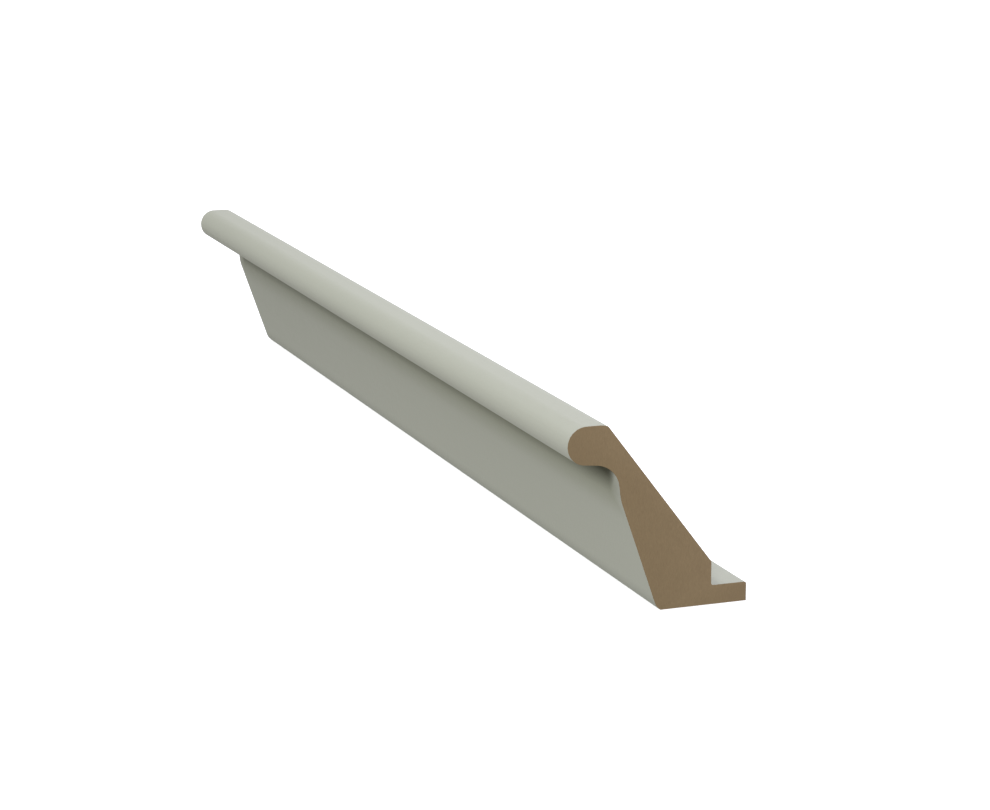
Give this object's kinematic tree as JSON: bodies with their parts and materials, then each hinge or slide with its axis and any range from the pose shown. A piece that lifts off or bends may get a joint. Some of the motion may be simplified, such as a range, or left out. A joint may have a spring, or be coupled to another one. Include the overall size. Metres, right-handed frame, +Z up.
{
  "type": "crown moulding piece",
  "caption": "Straight length of painted cabinet crown moulding with a round nose, a cove, a sloping face, a sloping back and a fixing tongue, cut square at the ends.",
  "frame": {"origin": "centre of the flat underside, where the moulding sits on the cabinet top", "axes": "+X along the length, -Y out of the show face towards the room, +Y towards the fixing tongue, +Z up"},
  "size_m": [0.435, 0.06, 0.06],
  "materials": {
    "painted_mdf": "satin sage-grey paint on the long faces, bare brown fibreboard at the sawn ends"
  },
  "bodies": {
    "root": {"crown_moulding": "painted_mdf"}
  },
  "joints": []
}
